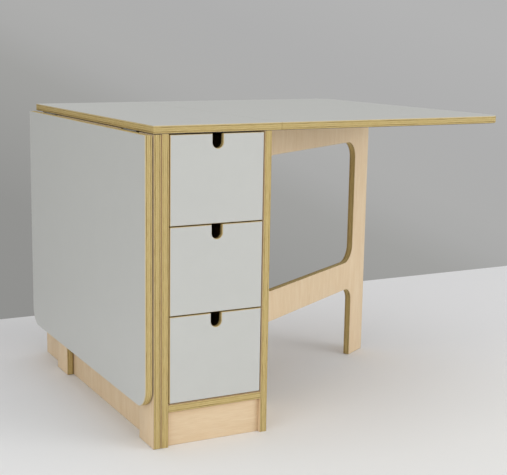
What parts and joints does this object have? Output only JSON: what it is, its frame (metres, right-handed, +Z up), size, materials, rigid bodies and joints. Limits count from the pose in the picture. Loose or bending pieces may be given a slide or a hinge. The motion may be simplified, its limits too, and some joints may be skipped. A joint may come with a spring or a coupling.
{
  "type": "folding gateleg sewing and cutting table",
  "caption": "Narrow plywood drawer carcass with a laminated top, hinged drop leaves and swinging gate supports, shown with one leaf raised.",
  "frame": {"origin": "centre of the carcass footprint, on the floor", "axes": "+X across the table towards the raised leaf, +Y along the carcass to its far end, +Z up"},
  "size_m": [1.0183, 0.88, 0.76],
  "materials": {
    "birch_ply": "birch plywood, clear satin lacquer",
    "laminate": "pale grey high-pressure laminate, matt",
    "backing": "pale grey balancing laminate, matt",
    "hardwood": "planed beech, unfinished",
    "hinge_steel": "zinc-plated steel, satin",
    "nylon": "natural white nylon"
  },
  "bodies": {
    "carcass": {"left_side_panel": "birch_ply", "right_side_panel": "birch_ply", "bottom_shelf": "birch_ply", "centre_divider": "birch_ply", "near_plinth": "birch_ply", "centre_bearer": "birch_ply", "far_plinth": "birch_ply", "corner_blocks": "hardwood", "top_cleats": "hardwood", "drawer_runners": "hardwood", "centre_top_core": "birch_ply", "centre_top_laminate": "laminate", "centre_top_backing": "backing", "hinge_fixed_plates": "hinge_steel", "hinge_pins": "hinge_steel"},
    "left_leaf": {"left_leaf_core": "birch_ply", "left_leaf_laminate": "laminate", "left_leaf_backing": "backing", "left_leaf_hinge_plates": "hinge_steel"},
    "right_leaf": {"right_leaf_core": "birch_ply", "right_leaf_laminate": "laminate", "right_leaf_backing": "backing", "right_leaf_hinge_plates": "hinge_steel"},
    "left_gate": {"left_gate_frame": "birch_ply", "left_gate_rest_pads": "nylon", "left_gate_hinge_plates": "hinge_steel"},
    "right_gate": {"right_gate_frame": "birch_ply", "right_gate_rest_pads": "nylon", "right_gate_hinge_plates": "hinge_steel"},
    "near_lower_drawer": {"near_lower_drawer_front": "birch_ply", "near_lower_drawer_facing": "laminate", "near_lower_drawer_sides": "birch_ply", "near_lower_drawer_back": "birch_ply", "near_lower_drawer_bottom": "birch_ply"},
    "near_middle_drawer": {"near_middle_drawer_front": "birch_ply", "near_middle_drawer_facing": "laminate", "near_middle_drawer_sides": "birch_ply", "near_middle_drawer_back": "birch_ply", "near_middle_drawer_bottom": "birch_ply"},
    "near_upper_drawer": {"near_upper_drawer_front": "birch_ply", "near_upper_drawer_facing": "laminate", "near_upper_drawer_sides": "birch_ply", "near_upper_drawer_back": "birch_ply", "near_upper_drawer_bottom": "birch_ply"},
    "far_lower_drawer": {"far_lower_drawer_front": "birch_ply", "far_lower_drawer_facing": "laminate", "far_lower_drawer_sides": "birch_ply", "far_lower_drawer_back": "birch_ply", "far_lower_drawer_bottom": "birch_ply"},
    "far_middle_drawer": {"far_middle_drawer_front": "birch_ply", "far_middle_drawer_facing": "laminate", "far_middle_drawer_sides": "birch_ply", "far_middle_drawer_back": "birch_ply", "far_middle_drawer_bottom": "birch_ply"},
    "far_upper_drawer": {"far_upper_drawer_front": "birch_ply", "far_upper_drawer_facing": "laminate", "far_upper_drawer_sides": "birch_ply", "far_upper_drawer_back": "birch_ply", "far_upper_drawer_bottom": "birch_ply"}
  },
  "joints": [
    {"name": "left_leaf_hinge", "type": "hinge", "parent": "carcass", "child": "left_leaf", "pos_m": [-0.1613, 0, 0.739], "axis": [0, 1, 0], "range_deg": [0, 90]},
    {"name": "right_leaf_hinge", "type": "hinge", "parent": "carcass", "child": "right_leaf", "pos_m": [0.1675, 0, 0.739], "axis": [0, -1, 0], "range_deg": [0, 1.8]},
    {"name": "left_gate_hinge", "type": "hinge", "parent": "carcass", "child": "left_gate", "pos_m": [-0.1428, 0.2778, 0], "axis": [0, 0, -1], "range_deg": [0, 0.1]},
    {"name": "right_gate_hinge", "type": "hinge", "parent": "carcass", "child": "right_gate", "pos_m": [0.1428, -0.2778, 0], "axis": [0, 0, -1], "range_deg": [-59, 31]},
    {"name": "near_lower_drawer_slide", "type": "slide", "parent": "carcass", "child": "near_lower_drawer", "axis": [0, -1, 0], "range_m": [0, 0.32]},
    {"name": "near_middle_drawer_slide", "type": "slide", "parent": "carcass", "child": "near_middle_drawer", "axis": [0, -1, 0], "range_m": [0, 0.32]},
    {"name": "near_upper_drawer_slide", "type": "slide", "parent": "carcass", "child": "near_upper_drawer", "axis": [0, -1, 0], "range_m": [0, 0.32]},
    {"name": "far_lower_drawer_slide", "type": "slide", "parent": "carcass", "child": "far_lower_drawer", "axis": [0, 1, 0], "range_m": [0, 0.32]},
    {"name": "far_middle_drawer_slide", "type": "slide", "parent": "carcass", "child": "far_middle_drawer", "axis": [0, 1, 0], "range_m": [0, 0.32]},
    {"name": "far_upper_drawer_slide", "type": "slide", "parent": "carcass", "child": "far_upper_drawer", "axis": [0, 1, 0], "range_m": [0, 0.32]}
  ]
}
